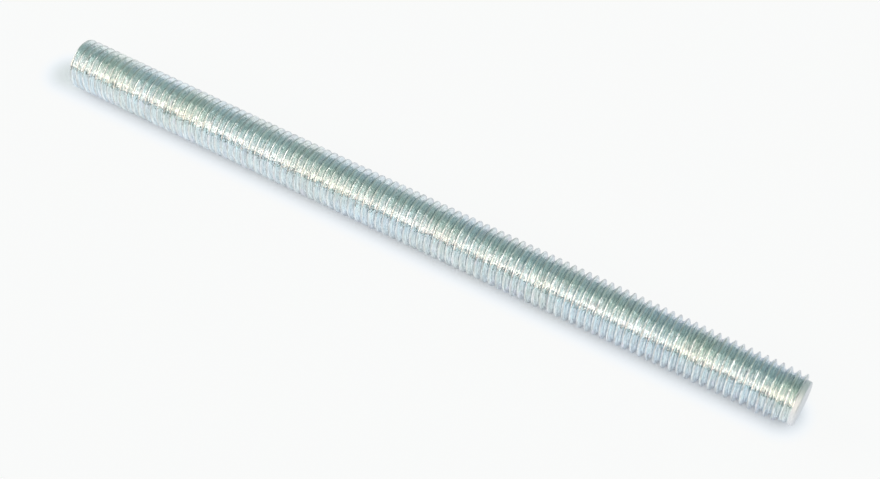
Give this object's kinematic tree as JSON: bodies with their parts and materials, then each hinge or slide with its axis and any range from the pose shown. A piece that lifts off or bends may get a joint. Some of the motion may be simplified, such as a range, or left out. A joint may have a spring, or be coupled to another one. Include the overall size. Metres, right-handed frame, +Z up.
{
  "type": "threaded rod",
  "caption": "Straight metal rod with a right-hand metric screw thread over its whole length, one end dressed for starting a nut.",
  "frame": {"origin": "on the surface that the rod lies on, under the middle of its length", "axes": "+X along the rod's axis to the dressed end, +Z up"},
  "size_m": [0.1542, 0.01, 0.0097],
  "materials": {
    "zinc": "bright zinc plate with a clear blue passivate"
  },
  "bodies": {
    "root": {"threaded_rod": "zinc"}
  },
  "joints": []
}
